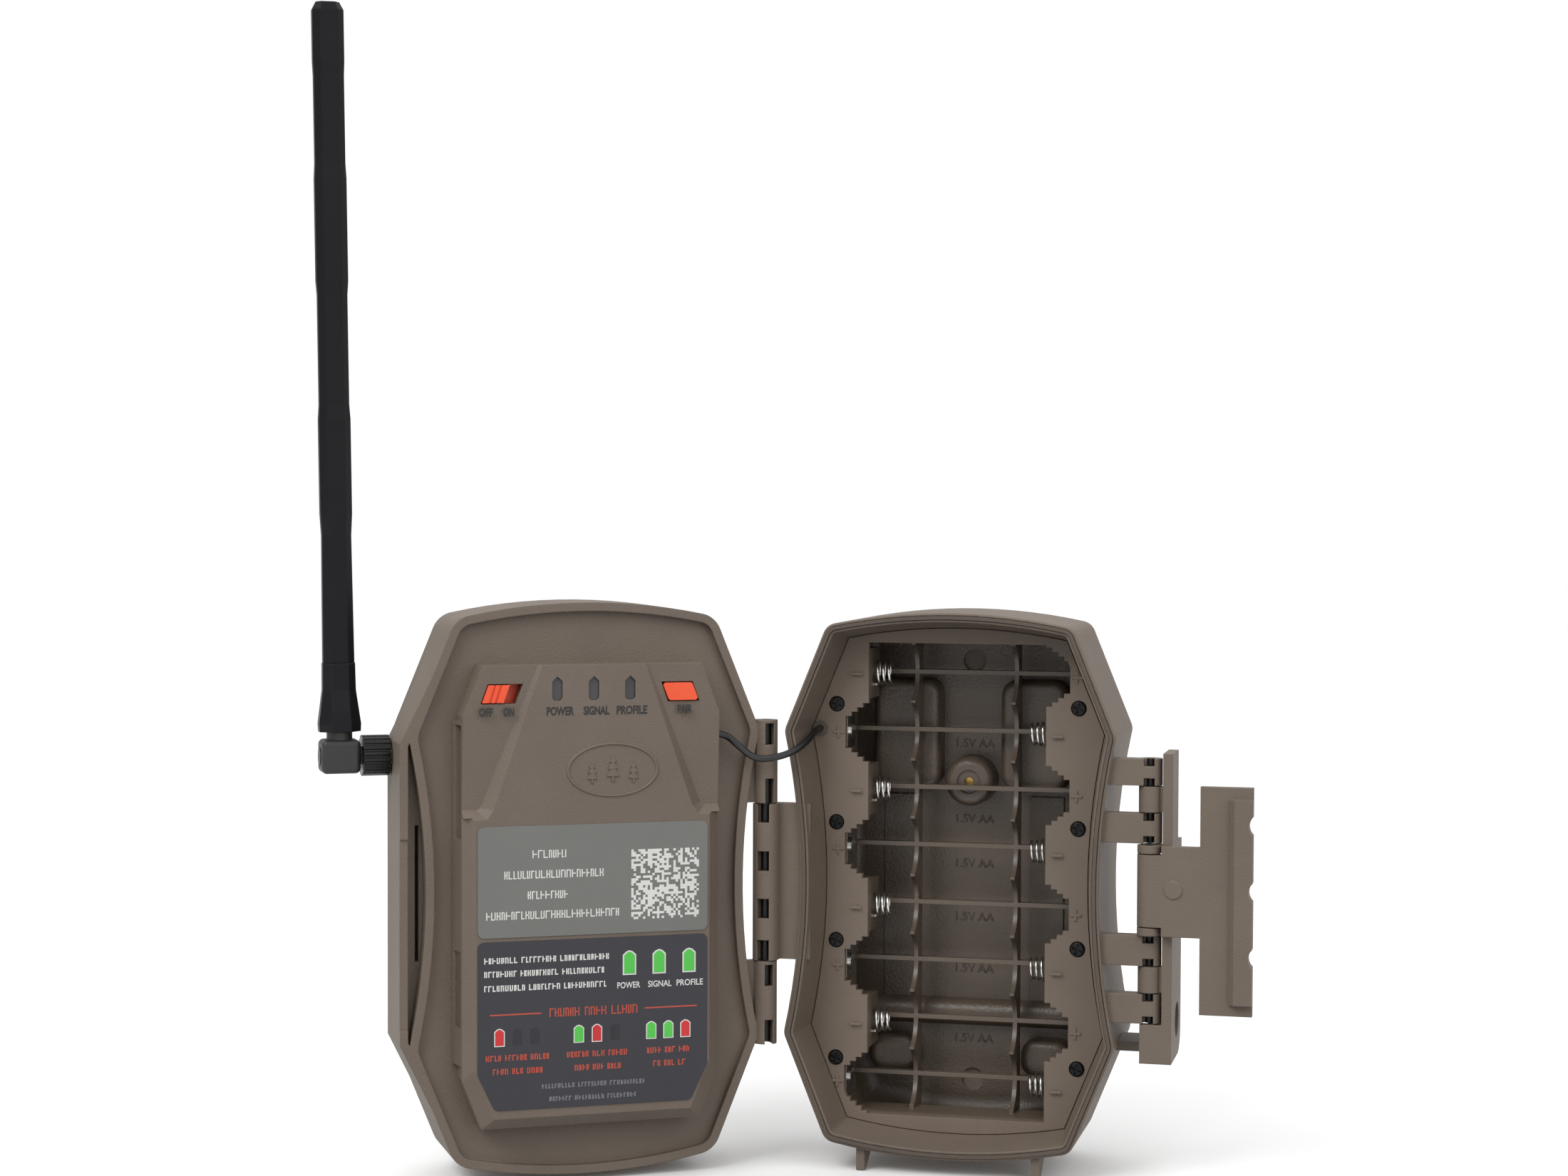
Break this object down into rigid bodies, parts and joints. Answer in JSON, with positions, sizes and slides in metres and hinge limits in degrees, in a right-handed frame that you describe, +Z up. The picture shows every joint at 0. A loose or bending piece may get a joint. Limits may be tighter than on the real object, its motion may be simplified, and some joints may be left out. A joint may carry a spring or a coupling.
{
  "type": "trail camera",
  "caption": "Cellular trail camera standing open, hinged front and battery-tray rear housings, side latch with hasp, tripod thread, strap rails and a whip antenna.",
  "frame": {"origin": "middle of the tripod thread's mouth in the back of the rear housing", "axes": "+Z up along the antenna, +Y out of the tripod thread, +X towards the latch"},
  "size_m": [0.233, 0.1016, 0.2991],
  "materials": {
    "housing": "fine-textured olive brown plastic",
    "module_plastic": "fine-textured brown plastic",
    "dark_plastic": "satin black plastic",
    "tray_plastic": "fine-textured brown plastic",
    "seal": "soft rubber",
    "screw_steel": "blackened steel",
    "spring_steel": "bright nickel-plated steel",
    "pin_steel": "plain steel",
    "pin_black": "black oxide steel",
    "black_metal": "black plated metal",
    "brass": "machined brass",
    "label_grey": "printed grey film",
    "label_dark": "printed dark film",
    "light_pipe": "translucent plastic",
    "button_plastic": "orange plastic",
    "board": "circuit board",
    "clear_window": "dark filter glass",
    "lens": "coated glass",
    "diode": "clear epoxy",
    "motion_film": "milky polyethylene",
    "antenna": "satin black elastomer",
    "cable": "black cable sleeve"
  },
  "bodies": {
    "rear": {"rear_shell": "housing", "rim_gasket": "seal", "battery_tray": "tray_plastic", "tray_screws": "screw_steel", "battery_springs": "spring_steel", "battery_contacts": "spring_steel", "tripod_insert": "brass", "hinge_pin": "pin_black", "cable_grommet": "seal", "lever_pins": "pin_black", "power_cable": "cable"},
    "lever": {"latch_lever": "housing", "hasp_pin": "pin_black"},
    "hasp": {"latch_hasp": "housing"},
    "front": {"front_shell": "housing", "front_fascia": "housing", "infrared_window": "clear_window", "lens_window": "clear_window", "lens_barrel": "dark_plastic", "lens_glass": "lens", "sensor_board": "board", "infrared_board": "board", "infrared_lights": "diode", "motion_lens": "motion_film", "motion_sensor": "pin_steel", "light_sensor": "dark_plastic", "microphone": "dark_plastic", "module_cover": "module_plastic", "light_pipes": "light_pipe", "power_switch": "button_plastic", "pair_switch": "dark_plastic", "id_label": "label_grey", "guide_label": "label_dark", "card_cover": "seal", "main_board": "board", "modem_board": "board", "card_socket": "pin_steel", "sim_socket": "pin_steel", "antenna_jack": "brass"},
    "knob": {"power_knob": "button_plastic"},
    "button": {"pair_button": "button_plastic"},
    "nut": {"antenna_nut": "black_metal"},
    "antenna": {"antenna_elbow": "dark_plastic", "elbow_cap": "antenna", "antenna_sleeve": "antenna", "antenna_whip": "antenna"}
  },
  "joints": [
    {"name": "door_hinge", "type": "hinge", "parent": "rear", "child": "front", "pos_m": [-0.0481, -0.042, -0.0244], "axis": [0, 0, 1], "range_deg": [-30, 149], "deforming": ["power_cable"]},
    {"name": "lever_swing", "type": "hinge", "parent": "rear", "child": "lever", "pos_m": [0.0515, -0.037, -0.0244], "axis": [0, 0, 1], "range_deg": [-90, 0]},
    {"name": "hasp_swing", "type": "hinge", "parent": "lever", "child": "hasp", "pos_m": [0.0515, -0.0396, -0.0244], "axis": [0, 0, -1], "range_deg": [0, 90]},
    {"name": "antenna_swivel", "type": "hinge", "parent": "front", "child": "antenna", "pos_m": [-0.14797, -0.08568, 0.0097], "axis": [-0.8572, -0.515, 0], "range_deg": [-90, 90]},
    {"name": "nut_spin", "type": "hinge", "parent": "front", "child": "nut", "pos_m": [-0.14111, -0.08156, 0.0097], "axis": [-0.8572, -0.515, 0], "continuous": true},
    {"name": "power_slide", "type": "slide", "parent": "front", "child": "knob", "axis": [0.8572, 0.515, 0], "range_m": [0, 0.003]},
    {"name": "pair_press", "type": "slide", "parent": "front", "child": "button", "axis": [-0.515, 0.8572, 0], "range_m": [0, 0.0008], "stiffness_N_per_m": 800}
  ]
}
